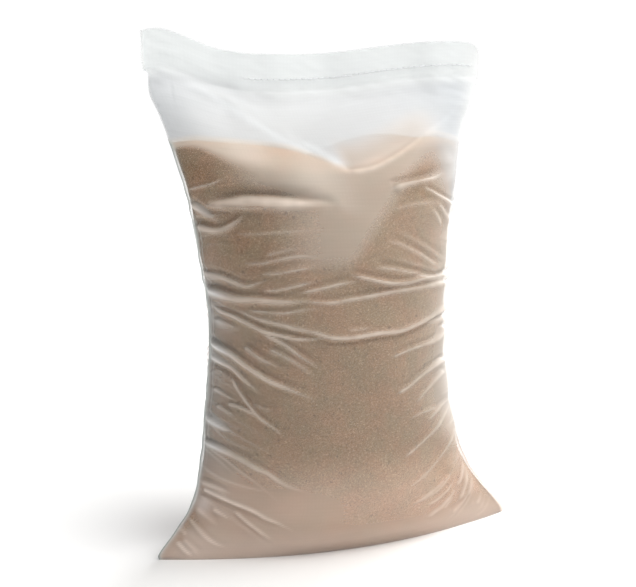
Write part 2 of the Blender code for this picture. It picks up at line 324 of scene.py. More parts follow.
def fading(values, low, high):
    """1 below low, 0 above high, and a soft step between."""
    return 1 - eased(values, low, high)


def bell(values, width):
    """1 at 0, and fading away on both sides within about twice width."""
    return np.exp(-((values / width) ** 2))


def main_relief(across, heights):
    """How far the front stands out on its main folds, at places across and heights."""
    spots = np.stack((across, heights), axis=-1)
    relief = np.zeros(len(spots))
    for stand, half_width, route in MAIN_FOLDS:
        ends = np.array(route)
        nearest = np.full(len(spots), 1e9)
        for first, second in zip(ends, ends[1:]):
            step = second - first
            share = np.clip((spots - first) @ step / (step @ step), 0.0, 1.0)
            nearest = np.minimum(nearest, np.linalg.norm(spots - first - share[:, None] * step, axis=1))
        along = np.clip((across - ends[0, 0]) / (ends[-1, 0] - ends[0, 0]), 0.0, 1.0)
        strength = np.sin(math.pi * along**FOLD_FULLEST_EARLY).clip(0.0) ** FOLD_FULLNESS
        strength *= eased(1 - along, 0.0, FOLD_ENDS_OVER)
        relief += stand * strength * np.exp(-1.6 * (nearest / half_width) ** FOLD_SHARPNESS)
    return relief * fading(heights, FOLDS_END_FROM, FOLDS_END_AT)


def top_edge_at(across):
    """Height of the turned-over top edge at places across."""
    return curve_at(TOP_EDGE, across.ravel()).reshape(across.shape)


def outline_at(angles, section):
    """Across and depth of a ring at angles from the right fold (0) over the back (90 degrees)."""
    left, right, front, back, fold_depth, pointed = section
    across = np.where(np.cos(angles) > 0, right, left) * np.cos(angles)
    reach = np.where(np.sin(angles) > 0, back, front)
    return across, fold_depth + np.sign(np.sin(angles)) * reach * np.abs(np.sin(angles)) ** pointed


def along_panel(count, finer_sides):
    """Shares of a panel's width, 0 to 1, for its columns, closer together near both side folds."""
    fine = np.linspace(0.0, 1.0, 400)
    crowding = 1 + (finer_sides - 1) * fading(np.minimum(fine, 1 - fine), *FOLDED_WITHIN)
    run = np.concatenate(([0.0], np.cumsum((crowding[1:] + crowding[:-1]) / 2)))
    return np.interp(np.linspace(0.0, 1.0, count + 1)[:-1], run / run[-1], fine)


def spaced(across, depth, shares):
    """A line's points again, at shares of its length."""
    steps = np.hypot(np.diff(across), np.diff(depth))
    run = np.concatenate(([0.0], np.cumsum(steps)))
    return np.interp(shares * run[-1], run, across), np.interp(shares * run[-1], run, depth)


def ring_at(height, front_shares, back_shares):
    """A ring of points at shares of each panel's width: left fold, front, right fold, back."""
    section = smooth_between(SECTIONS, height)[0]
    front = outline_at(np.linspace(math.pi, 2 * math.pi, RING_STEPS), section)
    back = outline_at(np.linspace(0.0, math.pi, RING_STEPS), section)
    front_across, front_depth = spaced(*front, front_shares)
    back_across, back_depth = spaced(*back, back_shares)
    return np.concatenate((front_across, back_across)), np.concatenate((front_depth, back_depth))


def standing_rows(heights, front_shares, back_shares):
    """The points of the standing part of the sack, one row for each height."""
    rows = []
    for height in heights:
        across, depth = ring_at(height, front_shares, back_shares)
        sag = eased(np.array(height), SAG_STARTS_AT, SAG_FULL_AT) * (STANDING_HEIGHT - top_edge_at(across))
        rows.append(np.stack((across, depth, height - sag), axis=-1))
    return np.array(rows)


def flat_rows(turns_and_drops):
    """The points of the flat top as it turns over its edge and hangs down the back."""
    across, depth = ring_at(STANDING_HEIGHT, film_front, film_back)
    fold_depth = SECTIONS[-1][5]
    off_middle = depth - fold_depth
    edge = top_edge_at(across) - TURN_RADIUS - HALF_FLAT_THICKNESS
    rows = []
    for turned, drop in turns_and_drops:
        new_depth = fold_depth + TURN_RADIUS * (1 - math.cos(turned)) + off_middle * math.cos(turned)
        new_height = edge + TURN_RADIUS * math.sin(turned) - off_middle * math.sin(turned) - drop
        rows.append(np.stack((across, new_depth, new_height), axis=-1))
    return np.array(rows)


film_front = along_panel(FRONT_COLUMNS, SIDES_FINER)
film_back = along_panel(BACK_COLUMNS, 1.0)
base_ring = standing_rows((0.0,), film_front, film_back)[0]
base_middle = np.array((0.0, base_ring[:, 1].mean(), 0.0))
base_rows = np.array([base_middle + (base_ring - base_middle) * share for share in BASE_SHARES])
fine_heights = np.arange(0.0, FLAT_FROM, FINE_ROW)
top_heights = np.arange(FLAT_FROM, STANDING_HEIGHT - TURNS_WITHIN, TOP_ROW)
standing_heights = np.concatenate((fine_heights, top_heights))
standing = standing_rows(standing_heights, film_front, film_back)
turning = flat_rows([(math.pi * step / TURN_ROWS, 0.0) for step in range(TURN_ROWS + 1)])
hanging = flat_rows([(math.pi, HEM_DEPTH * step / FLAP_ROWS) for step in range(1, FLAP_ROWS + 1)])
smooth_film = np.concatenate((base_rows, standing, turning, hanging))


def outward(points):
    """Unit vectors square to a closed grid of points (rows up, columns round), pointing out of the bag."""
    round_step = np.roll(points, -1, axis=1) - np.roll(points, 1, axis=1)
    up_step = np.gradient(points, axis=0)
    normals = np.cross(round_step, up_step)
    return normals / np.maximum(np.linalg.norm(normals, axis=-1, keepdims=True), 1e-9)


# Each kind of crease, in metres: how far its crest stands out, its half width, the depth of the hollow beside it,
# how far away and how wide that is, and last how milky the crest is: film lifted off the sand, and partly a painted
# highlight on crests that face the light. The last two kinds are soft: the milky line of the sand's rim, and a loose
# fold in the empty film.
WIDE = (0.0034, 0.0052, 0.0052, 0.0084, 0.0050, 0.44)
BAND = (0.0008, 0.0115, 0.0034, 0.0168, 0.0045, 0.56)
BOLD = (0.0036, 0.0033, 0.0038, 0.0062, 0.0034, 0.52)
PLAIN = (0.0028, 0.0038, 0.0036, 0.0062, 0.0036, 0.38)
FAINT = (0.0015, 0.0036, 0.0018, 0.0056, 0.0032, 0.23)
THIN = (0.0026, 0.0026, 0.0028, 0.0050, 0.0028, 0.50)
FINE = (0.0018, 0.0025, 0.0018, 0.0044, 0.0026, 0.38)
HAIR = (0.0012, 0.0022, 0.0013, 0.0038, 0.0024, 0.34)
EDGE = (0.0006, 0.0044, 0.0000, 0.0050, 0.0030, 0.24)
FREE = (0.0004, 0.0070, 0.0000, 0.0100, 0.0060, 0.45)

# The creases that the photograph shows on the front: kind, side of the hollow (1 above the crest, -1 below it),
# strength where the crease starts and where it ends, and its route in the photograph's pixels.
CREASES = (
    (BAND, 1, 0.55, 0.95, ((205, 204), (222, 203), (242, 200), (261, 200), (280, 202), (304, 203), (326, 202))),
    (FAINT, -1, 1.0, 0.5, ((208, 206), (232, 208), (252, 209), (270, 209), (300, 206), (328, 203))),
    (PLAIN, 1, 1.0, 0.5, ((194, 205), (202, 212), (211, 216))),
    (FINE, 1, 0.8, 0.7, ((187, 190), (198, 187), (211, 184), (226, 178))),
    (WIDE, 1, 1.0, 0.5, ((199, 227), (213, 230), (226, 228), (237, 221), (245, 212))),
    (FAINT, 1, 0.6, 0.4, ((237, 234), (256, 234), (285, 232), (314, 231))),
    (FAINT, -1, 0.8, 0.3, ((266, 256), (282, 252), (300, 248))),
    (PLAIN, -1, 0.5, 0.5, ((242, 264), (261, 264), (280, 260), (300, 257), (320, 258))),
    (PLAIN, -1, 0.5, 0.4, ((261, 274), (278, 274), (295, 271), (320, 267))),
    (PLAIN, 1, 1.0, 0.6, ((204, 273), (220, 276), (234, 282), (247, 286), (261, 282), (269, 279))),
    (PLAIN, -1, 0.5, 0.6, ((261, 291), (276, 291), (295, 287), (320, 281))),
    (WIDE, 1, 1.0, 0.5, ((204, 288), (218, 292), (237, 298), (261, 300), (285, 302), (320, 301))),
    (PLAIN, 1, 0.5, 0.5, ((247, 310), (266, 312), (285, 313), (304, 310), (320, 309))),
    (BOLD, 1, 0.7, 0.8, ((208, 303), (220, 310), (235, 316), (252, 325), (266, 332), (279, 335), (297, 339),
        (315, 339), (330, 338))),
    (PLAIN, -1, 0.6, 0.9, ((237, 309), (252, 317), (266, 322), (284, 326), (294, 329), (310, 332), (330, 338))),
    (FAINT, 1, 1.0, 0.4, ((219, 320), (230, 325), (242, 331))),
    (BOLD, 1, 1.0, 0.75, ((207, 338), (219, 346), (233, 354), (244, 363), (257, 372), (270, 380), (288, 388),
        (302, 394), (318, 401))),
    (PLAIN, -1, 0.9, 0.9, ((208, 354), (221, 362), (233, 369), (244, 380), (262, 395))),
    (THIN, 1, 0.8, 0.7, ((230, 375), (238, 390), (248, 404), (260, 418), (272, 427), (287, 439))),
    (FINE, 1, 0.95, 0.9, ((226, 403), (240, 407), (252, 413), (264, 421))),
    (FINE, 1, 1.0, 0.4, ((215, 389), (226, 396), (235, 401))),
    (FINE, 1, 1.0, 0.4, ((219, 406), (230, 413), (238, 417))),
    (BOLD, 1, 1.0, 0.5, ((204, 414), (215, 423), (226, 429), (235, 432))),
    (PLAIN, 1, 0.8, 0.5, ((243, 345), (260, 358), (270, 363), (282, 368))),
    (PLAIN, 1, 0.8, 0.6, ((262, 333), (284, 344), (297, 354), (306, 360), (322, 369))),
    (FAINT, 1, 1.0, 0.7, ((272, 350), (288, 358), (302, 367), (314, 378))),
    (FAINT, 1, 0.8, 0.3, ((252, 403), (266, 409), (275, 413))),
    (PLAIN, 1, 1.0, 0.5, ((206, 442), (222, 449), (241, 458), (260, 469), (268, 473), (286, 485), (309, 493))),
    (PLAIN, 1, 1.0, 0.4, ((202, 481), (217, 487), (231, 494))),
    (THIN, -1, 1.0, 0.7, ((206, 490), (220, 497), (235, 504), (255, 512), (265, 518), (279, 524), (293, 531))),
    (THIN, -1, 0.7, 0.6, ((233, 511), (246, 521), (260, 532), (275, 543))),
    (FINE, 1, 0.9, 0.4, ((213, 508), (222, 514), (231, 520))),
    (FINE, 1, 0.9, 0.6, ((187, 515), (195, 525), (205, 536), (215, 543), (228, 549))),
    (FAINT, 1, 0.9, 0.4, ((196, 507), (208, 517), (219, 527))),
    (FAINT, 1, 0.9, 0.5, ((183, 539), (191, 548), (200, 556))),
    (FINE, 1, 1.0, 0.5, ((180, 528), (184, 532), (187, 536))),
    (FINE, 1, 1.0, 0.5, ((179, 543), (186, 551), (194, 557))),
    (WIDE, 1, 0.8, 0.8, ((391, 189), (404, 186), (418, 182.5), (432, 178.5), (446, 172))),
    (THIN, 1, 0.5, 1.0, ((422, 187), (432, 192), (442, 198.5), (452, 205))),
    (FAINT, 1, 0.4, 0.8, ((392, 210), (412, 205), (438, 203))),
    (FINE, 1, 0.5, 0.9, ((431, 209), (437, 217), (441, 227))),
    (PLAIN, 1, 0.4, 0.9, ((388, 241), (402, 245), (417, 253), (431, 262), (443, 269))),
    (FAINT, 1, 0.4, 0.9, ((399, 231), (415, 240), (432, 252), (446, 263))),
    (FAINT, -1, 0.5, 0.9, ((412, 262), (426, 268), (443, 273))),
    (FINE, 1, 0.5, 1.0, ((437, 204), (443, 212), (450, 222))),
    (FAINT, -1, 0.5, 0.8, ((398, 259), (412, 264), (433, 269))),
    (PLAIN, 1, 0.5, 0.9, ((374, 268), (392, 269), (412, 273), (431, 277), (446, 276))),
    (BOLD, 1, 0.6, 1.0, ((350, 275), (364, 278), (378, 281.5), (392, 283.5), (407, 283), (422, 279), (438, 278),
        (447, 275))),
    (PLAIN, 1, 0.6, 0.6, ((300, 293), (320, 289), (341, 284), (361, 281))),
    (PLAIN, 1, 0.5, 1.0, ((300, 301), (313, 302), (325, 303), (337, 302.5), (348, 300), (366, 297), (392, 292),
        (417, 288), (443, 283))),
    (FAINT, 1, 0.5, 0.5, ((347, 330), (360, 329), (373, 327))),
    (BOLD, -1, 0.6, 1.0, ((300, 329), (315, 333), (331, 338), (351, 338), (376, 334), (397, 332), (412, 327),
        (426, 320), (436, 314), (443, 309))),
    (FAINT, 1, 0.6, 0.9, ((426, 323), (435, 320), (443, 317))),
    (THIN, 1, 0.5, 1.0, ((390, 358), (406, 351), (419, 346), (433, 341), (440, 335), (443, 328))),
    (THIN, 1, 0.7, 1.0, ((395, 394), (408, 386), (419, 377), (431, 368), (442, 360))),
    (FINE, 1, 0.6, 1.0, ((415, 403), (424, 393), (433, 383), (442, 372))),
    (FINE, 1, 0.5, 0.7, ((410, 418), (420, 413), (433, 409), (443, 407))),
    (FINE, 1, 0.6, 0.8, ((426, 421), (437, 411), (446, 402), (451, 396))),
    (THIN, 1, 0.6, 0.8, ((402, 459), (415, 448), (427, 436), (437, 425), (446, 413), (452, 402))),
    (FINE, 1, 0.5, 0.9, ((408, 488), (418, 480), (430, 469), (440, 457), (447, 445), (452, 433), (455, 424))),
    (HAIR, 1, 0.6, 0.6, ((422, 479), (430, 470), (438, 461))),
    (FINE, 1, 0.5, 0.8, ((412, 505), (424, 498), (436, 491), (446, 481), (452, 472), (456, 463))),
    (HAIR, 1, 0.7, 0.8, ((419, 501), (430, 493), (441, 484), (449, 474))),
    (HAIR, 1, 0.7, 0.8, ((427, 505), (438, 498), (447, 490), (455, 479))),
    (FINE, 1, 0.9, 0.9, ((426, 517), (434, 511), (443, 504), (450, 496), (456, 487))),
    (HAIR, 1, 0.8, 0.7, ((443, 508), (448, 502), (453, 495))),
    (FINE, 1, 0.9, 0.9, ((456, 486), (460, 479), (463, 469), (464, 461))),
    (FINE, 1, 0.7, 0.9, ((458, 502), (462, 492), (465, 481), (466, 469), (465, 458))),
    (HAIR, 1, 0.9, 0.9, ((466, 497), (469, 488), (471, 478), (471, 467))),
    (HAIR, 1, 0.7, 0.7, ((452, 513), (459, 506), (465, 498))),
    (HAIR, 1, 0.7, 0.7, ((474, 505), (477, 497), (479, 488))),
    (HAIR, 1, 0.6, 0.7, ((482, 507), (485, 499), (486, 491))),
    (EDGE, 1, 0.9, 0.7, ((346, 170), (358, 170.5), (375, 167), (394, 157), (411, 145), (428, 131), (441, 122))),
    (FREE, 1, 0.7, 0.4, ((422, 136), (434, 128), (447, 118), (455, 109), (461, 98), (467, 84))),
    (FREE, 1, 0.5, 0.9, ((300, 140), (318, 150), (334, 160), (345, 168), (354, 174))),
    (FREE, 1, 0.4, 0.8, ((180, 82), (200, 90), (220, 103), (241, 117), (258, 127), (277, 138), (309, 151),
        (338, 165))),
)
PIXELS_PER_METRE = 733.0
NARROW_END = 0.55
WIDER_WHERE_STRONG = 1.00
TAPERS_IN = (-0.02, 0.14)
TAPERS_OUT = (0.62, 1.03)
SHARP_SIDE = 1.45
SOFT_SIDE = 0.95
SWELL_WIDER = 3.6
SWELL_AT_MOST = 0.012
CREST_SHARE = 0.78
SWELL_SHARE = 0.30


def smooth_route(route, pieces=6):
    """A crease's route with more points, on a smooth curve through the given ones."""
    route = np.array(route, float)
    table = np.column_stack((np.arange(len(route)), route))
    return smooth_between(table, np.linspace(0, len(route) - 1, (len(route) - 1) * pieces + 1))


def crease_relief(places, creases):
    """Crest height, hollow depth and crest haze with painted highlight, at flat places (metres, second axis down)."""
    found = np.zeros((3, len(places)))
    for (stand, width, dip, dip_away, dip_width, haze_and_highlight), side, start, end, route in creases:
        line = smooth_route(route)
        swell = min(SWELL_WIDER * width, SWELL_AT_MOST)
        reach = 1.8 * max(swell, width, dip_width) + dip_away
        near = np.nonzero(np.all((places > line.min(0) - reach) & (places < line.max(0) + reach), axis=1))[0]
        if len(near) == 0:
            continue
        lengths = np.linalg.norm(np.diff(line, axis=0), axis=1)
        run = np.concatenate(([0.0], np.cumsum(lengths)))
        best = np.full(len(near), 1e9)
        above = np.zeros(len(near))
        along = np.zeros(len(near))
        for first, second, length, passed in zip(line, line[1:], lengths, run):
            direction = (second - first) / length
            offset = places[near] - first
            share = np.clip(offset @ direction, 0.0, length)
            distance = np.linalg.norm(offset - share[:, None] * direction, axis=1)
            closer = distance < best
            upward = 1.0 if direction[0] >= 0 else -1.0
            turn = (direction[0] * offset[:, 1] - direction[1] * offset[:, 0]) * upward
            best = np.where(closer, distance, best)
            above = np.where(closer, -np.sign(turn), above)
            along = np.where(closer, (passed + share) / run[-1], along)
        strength = start + (end - start) * along
        if start < 1.0:
            strength = strength * eased(along, *TAPERS_IN)
        if end < 1.0:
            strength = strength * fading(along, *TAPERS_OUT)
        sharper = np.where(above * side > 0, SHARP_SIDE, SOFT_SIDE)
        off_crest = sharper * best / (width * (NARROW_END + WIDER_WHERE_STRONG * strength))
        off_hollow = (best * above - dip_away * side) / dip_width
        ridge = CREST_SHARE * np.exp(-1.6 * off_crest**2) + SWELL_SHARE * np.exp(-1.2 * (best / swell) ** 2)
        found[:, near] = np.maximum(found[:, near], (
            strength * stand * ridge,
            strength * dip * np.exp(-1.6 * off_hollow**2),
            strength**0.75 * haze_and_highlight * np.exp(-2.2 * off_crest**2),
        ))
    return found


# Creases that the photograph doesn't show, at random: kinds, how far they fall for each metre, and how much less so
# for each metre of height.
BACK_KINDS = (BOLD, BOLD, PLAIN, PLAIN, THIN, FAINT)
SMALL_KINDS = (PLAIN, FAINT, FAINT)
SIDE_FALL = 0.62
SIDE_FALL_VARIES = 0.22
SIDE_BEND = 0.012
LESS_FALL_HIGHER = 1.9


def side_creases(seed, count, kinds, highest, longest, strength):
    """Creases at random that run in from both side folds, about level halfway up and falling lower down."""
    chance = np.random.default_rng(seed)
    made = []
    for index in range(count):
        from_left = index % 2 == 0
        height = chance.uniform(0.03, highest)
        length = chance.uniform(0.05, longest)
        fall = SIDE_FALL - LESS_FALL_HIGHER * height + chance.uniform(-SIDE_FALL_VARIES, SIDE_FALL_VARIES)
        bend = chance.uniform(-SIDE_BEND, SIDE_BEND)
        kind = kinds[chance.integers(len(kinds))]
        route = []
        for share in (0.0, 0.33, 0.67, 1.0):
            run = length * share
            place = run if from_left else PANEL_WIDTH - run
            route.append((place, -(height - fall * run + bend * math.sin(math.pi * share))))
        made.append((kind, int(chance.choice((-1, 1))), strength, 0.3 * strength, tuple(route)))
    return made


def soft_noise(places, seed, size):
    """Smooth random waves between -1 and 1, about size metres long, at flat places."""
    chance = np.random.default_rng(seed)
    total = np.zeros(len(places))
    for _ in range(10):
        angle = chance.uniform(0, 2 * math.pi)
        pace = chance.uniform(0.6, 1.6) * 2 * math.pi / size
        total += np.sin(places @ np.array((math.cos(angle), math.sin(angle))) * pace + chance.uniform(0, 2 * math.pi))
    return total / 4.5


def pulled_folds(round_place, across, heights):
    """Shallow folds pulled in from the sides: about level halfway up, and falling to the middle lower down."""
    fall = np.clip(0.60 - LESS_FALL_HIGHER * heights, -0.15, 0.55)
    from_side = np.clip(np.abs(np.abs(across) - 0.20), 0.0, 0.20)
    places = np.stack((round_place * 0.20, heights + fall * np.abs(across)), axis=-1)
    return soft_noise(places, 12, 0.040) * (0.0013 - 0.0010 * eased(from_side, 0.05, 0.16))


# Where creases begin and where they have all their relief, in metres from a side fold: left front, left back, right
# front and right back. Nearer to the fold the film is stretched smooth round the sand.
CREASES_BEGIN = (0.001, 0.022, 0.022, 0.001)
CREASES_FULL = (0.016, 0.065, 0.056, 0.020)
MAIN_FOLDS_FULL_FROM = 0.020
MAIN_IN_ROOM = 0.75
HOLLOW_IN_ROOM = 0.55
LUMP_SIZE = 0.11
LUMP_HEIGHT = 0.0012
BODY_FROM = (0.004, 0.05)
BODY_UNTIL = (0.50, 0.60)


def cloth_facts(shares, row_count):
    """Facts of each point of a grid, from its columns' shares of the way round (0 left fold, 1 right fold, 2 left fold
    again): place across the cloth, distance from the nearest fold, distances behind the left and the right fold (0 on
    the front), whether it is on the left half and on the front, and the share of its relief that a crease keeps."""
    from_fold = np.minimum(shares % 1.0, 1 - shares % 1.0) * PANEL_WIDTH
    behind_left = np.where(shares > 1, 2 - shares, 0.0) * PANEL_WIDTH
    behind_right = np.where(shares > 1, shares - 1, 0.0) * PANEL_WIDTH
    on_left = np.abs(shares - 1.0) > 0.5
    on_front = shares <= 1.0
    quarter = np.select([on_left & on_front, on_left, on_front], [0, 1, 2], 3)
    calm = eased(from_fold, np.take(CREASES_BEGIN, quarter), np.take(CREASES_FULL, quarter))
    facts = (shares * PANEL_WIDTH, from_fold, behind_left, behind_right, on_left, on_front, calm)
    return [np.tile(fact, row_count) for fact in facts]


def body_share(heights):
    """1 over the sack's full body, 0 at its bottom and in its empty top."""
    return eased(heights, *BODY_FROM) * fading(heights, *BODY_UNTIL)


def pressed_out(points, facts, on_main_folds, room, crest, hollow):
    """How far points stand out on main folds, crests and lumps, less their hollows, as far as the bag has room."""
    across, heights = points[:, 0], points[:, 2]
    cloth_place, from_fold, calm = facts[0], facts[1], facts[-1]
    main = main_relief(across, heights) * on_main_folds * eased(from_fold, 0.0, MAIN_FOLDS_FULL_FROM)
    lumps = soft_noise(np.stack((cloth_place, heights), axis=-1), 11, LUMP_SIZE) * LUMP_HEIGHT
    lumps += pulled_folds(cloth_place, across, heights) * calm
    kept_hollow = np.minimum(hollow * calm, HOLLOW_IN_ROOM * room)
    return np.maximum(main, -MAIN_IN_ROOM * room) + crest * calm - kept_hollow + lumps * body_share(heights)


rows, columns = smooth_film.shape[:2]
film_facts = cloth_facts(np.concatenate((film_front, 1 + film_back)), rows)
cloth_across, from_fold, behind_left, behind_right, on_left, on_front, calm = film_facts
row_steps = np.linalg.norm(np.diff(smooth_film[:, FRONT_COLUMNS // 2], axis=0), axis=1)
rows_up = np.concatenate(([0.0], np.cumsum(row_steps)))
flat_film = smooth_film.reshape(-1, 3)
film_x, film_z = flat_film[:, 0], flat_film[:, 2]
film_pixels = pixels_of(flat_film)

# Relief from the traced creases on the front, which run on a little behind the left fold, and from small ones between
# them; and on the back, which the photograph doesn't show, from creases like the front's.
WRAPS_ROUND = 0.012
CLEARER_AT_RIGHT = 0.50
CLEARER_PIXELS = (365.0, 430.0)
pixel_creases = [
    (kind, side, start, end, np.array(route) / PIXELS_PER_METRE) for kind, side, start, end, route in CREASES
]
back_creases = side_creases(4, 74, BACK_KINDS, 0.51, 0.22, 1.0)
small_creases = side_creases(9, 44, SMALL_KINDS, 0.46, 0.15, 0.36)
found = crease_relief(film_pixels / PIXELS_PER_METRE, pixel_creases)
found *= np.where(on_front, 1.0, bell(behind_left, WRAPS_ROUND))
found[2] *= 1 - CLEARER_AT_RIGHT * eased(film_pixels[:, 0], *CLEARER_PIXELS)
found = np.maximum(found, crease_relief(np.stack((cloth_across, -film_z), axis=-1), small_creases) * on_front)
found = np.maximum(found, crease_relief(np.stack((behind_right, -film_z), axis=-1), back_creases) * ~on_front)

# Only the standing part has relief. Where its two panels lie close together a hollow has no room.
body_rows = len(base_rows) + len(standing)
standing_part = np.repeat((np.arange(rows) >= len(base_rows)) & (np.arange(rows) < body_rows), columns)
fold_depths = smooth_between([(section[0], section[5]) for section in SECTIONS], smooth_film[:, 0, 2])
room = np.abs(smooth_film[:, :, 1] - fold_depths).ravel() * standing_part
crest, hollow, crest_haze_and_highlight = found * standing_part
crest_haze_and_highlight *= 0.25 + 0.75 * calm
film_relief = pressed_out(flat_film, film_facts, on_front * standing_part, room, crest, hollow)
film_points = flat_film + outward(smooth_film).reshape(-1, 3) * film_relief[:, None]


def top_waves(points):
    """How far the two panels of the empty top stand forward or back together at points."""
    waves = soft_noise(np.stack((points[:, 0] * 1.5, points[:, 2]), axis=-1), 22, 0.10) * 0.0010
    waves += soft_noise(np.stack((points[:, 0] + points[:, 2], points[:, 2] * 1.6), axis=-1), 23, 0.032) * 0.0003
    for size, length, phase in TOP_WAVES:
        waves += size * np.sin(2 * math.pi * points[:, 0] / length + phase)
    return eased(points[:, 2], TOP_WAVES_FROM, TOP_WAVES_FULL_AT) * waves


RIGHT_EAR_LONGER = 0.009


def ear_shift(points, facts):
    """How much farther than the solid model the flat right corner of the bottom stands out."""
    from_fold, on_left = facts[1], facts[4]
    return RIGHT_EAR_LONGER * fading(points[:, 2], 0.0, 0.085) * fading(from_fold, 0.010, 0.090) * ~on_left


# The flat top waves, the side folds waver a little, the left one stands out as a thin fin, and both ends of the
# turned-over flap are tucked in. At the left end the hem keeps its full width and the sack steps in below it.
FIN_STANDS_OUT = 0.0022
FIN_WIDTH = 0.0045
WAVER = 0.0007
WAVER_WIDTH = 0.006
FLAP_TUCKED_AT_RIGHT = 0.010
FLAP_TUCKED_AT_LEFT = 0.004
LEFT_END = (-0.256, -0.215)
HEM_NARROWS = 0.0015
STEPS_IN_BELOW_HEM = 0.0060
film_points[:, 1] += top_waves(flat_film)
film_points[:, 2] = np.maximum(film_points[:, 2], 0.0)
film_points[:, 0] += ear_shift(flat_film, film_facts)
waver = soft_noise(np.stack((film_z, film_z * 0), axis=-1), 41, 0.035)
film_points[:, 0] += WAVER * waver * bell(from_fold, WAVER_WIDTH) * body_share(film_z)
film_points[:, 0] -= FIN_STANDS_OUT * bell(from_fold, FIN_WIDTH) * on_left * body_share(film_z)
flap = np.repeat(np.arange(rows) >= body_rows, columns)
dropped = np.clip((STANDING_HEIGHT - 0.010 - film_z) / HEM_DEPTH, 0.0, 1.0) * flap
film_points[:, 0] -= FLAP_TUCKED_AT_RIGHT * dropped * eased(film_x, 0.19, 0.245)
film_points[:, 0] += FLAP_TUCKED_AT_LEFT * dropped * fading(film_x, -0.256, -0.225)
below_edge = top_edge_at(film_x) - film_z
at_left_end = fading(film_x, *LEFT_END) * ~flap
film_points[:, 0] -= HEM_NARROWS * at_left_end * eased(below_edge, 0.0, HEM_DEPTH)
below_hem = eased(below_edge, HEM_DEPTH, HEM_DEPTH + 0.005) * fading(below_edge, 0.056, 0.090)
film_points[:, 0] += STEPS_IN_BELOW_HEM * at_left_end * below_hem


def grid_faces(row_count, column_count):
    """Four-sided faces of a closed tube of points, in rows up and columns round, with its first row filled in."""
    faces = []
    for row in range(row_count - 1):
        low = row * column_count
        high = low + column_count
        for column in range(column_count):
            after = (column + 1) % column_count
            faces.append((low + column, low + after, high + after, high + column))
    faces.append(tuple(reversed(range(column_count))))
    return faces


def add_mesh(name, points, faces):
    """A smooth mesh object from its points and faces."""
    mesh = bpy.data.meshes.new(name)
    mesh.from_pydata(points, [], faces)
    mesh.update()
    mesh.shade_smooth()
    piece = bpy.data.objects.new(name, mesh)
    bpy.context.scene.collection.objects.link(piece)
    return piece


def add_layer(piece, name, values):
    """A number or a colour at each point of a piece, for its material to read."""
    if values.ndim == 1:
        layer = piece.data.attributes.new(name, "FLOAT", "POINT")
        layer.data.foreach_set("value", values.astype(np.float32))
    else:
        layer = piece.data.color_attributes.new(name, "FLOAT_COLOR", "POINT")
        colours = np.column_stack((values, np.ones(len(values))))
        layer.data.foreach_set("color", colours.astype(np.float32).ravel())


# The cloth's own flat places, in metres, are its UV map. Where the last column meets the first, it runs on.
sack = add_mesh("sack_film", film_points.tolist(), grid_faces(rows, columns))
cloth_map = sack.data.uv_layers.new(name="cloth")
corner_points = np.empty(len(sack.data.loops), dtype=np.int64)
sack.data.loops.foreach_get("vertex_index", corner_points)
cloth_places = np.stack((cloth_across, np.repeat(rows_up, columns)), axis=-1)[corner_points]
corner_columns = corner_points[: 4 * (rows - 1) * columns] % columns
closing = np.repeat(corner_columns[::4] == columns - 1, 4)
cloth_places[np.flatnonzero(closing & (corner_columns == 0)), 0] += 2 * PANEL_WIDTH
cloth_map.data.foreach_set("uv", cloth_places.ravel().astype(np.float32))

# How far below its rim the sand and the film over it are painted paler, at places across: a painted highlight on the
# band along the rim, which faces up to the light.
PALE_BAND = (
    (-0.21, 0.008), (-0.19, 0.012), (-0.16, 0.025), (-0.13, 0.030), (-0.095, 0.028), (-0.06, 0.022),
    (-0.03, 0.007), (0.00, 0.003), (0.04, 0.003), (0.08, 0.004), (0.125, 0.010), (0.20, 0.008),
)

# How milky the film looks at each point: clear where it clings to sand, milkier on crests and where it hangs free. Part
# of it is painted light: painted highlight on the left shoulder, in the pale band, in a patch under the dip, on crests
# and at the right edge, painted light from the floor low down, and painted shade where a few places are made clearer.
CLINGING = 0.12
ON_THE_SHOULDER = 0.21
IN_THE_PALE_BAND = 0.38
LOW_PAINTED_LIGHT = 0.14
AT_THE_BOTTOM = 0.22
LEFT_HAZE = 0.20
PAINTED_HIGHLIGHT = 0.18
JUST_FREE = 0.42
HANGING_FREE = 0.76
IN_FOUR_PLIES = 0.50
SIDE_FOLD = 0.90
SECOND_LINE = 0.35
RIGHT_RIM = 0.20

# How milky the film is near its right edge, at heights: film that stands off the sand, and a painted highlight of the
# brightly lit right side.
NEAR_THE_RIGHT_EDGE = (
    (0.00, 0.00), (0.05, 0.02), (0.10, 0.05), (0.165, 0.46), (0.235, 0.92), (0.31, 0.80), (0.385, 0.54),
    (0.42, 0.46), (0.48, 0.18), (0.55, 0.20),
)

# Pale places where the film stands off the sand, most of them beside the left fold: middle, half length, half height
# and fall, in the photograph's pixels, and how milky. A few, below 0, are made clearer than what lies round them, as
# painted shade where the sand looks darker.
PALE_PLACES = (
    (203, 210, 11.0, 4.5, 0.75, 0.36), (214, 293, 14.0, 4.0, 0.30, 0.26), (219, 347, 15.0, 4.5, 0.60, 0.32),
    (216, 358, 12.0, 3.5, 0.55, 0.24), (214, 421, 13.0, 4.5, 0.55, 0.36), (203, 504, 8.0, 10.0, 0.00, 0.40),
    (216, 446, 11.0, 3.5, 0.45, 0.22), (218, 322, 12.0, 4.5, 0.65, 0.16), (191, 534, 8.0, 7.0, 0.40, 0.12),
    (196, 172, 24.0, 18.0, 0.30, -0.08), (424, 168, 22.0, 6.0, -0.35, -0.06), (426, 192, 18.0, 8.0, 0.10, -0.07),
    (446, 468, 15.0, 24.0, 0.00, -0.08), (246, 246, 42.0, 32.0, 0.00, -0.06), (230, 462, 26.0, 22.0, 0.20, 0.06),
)

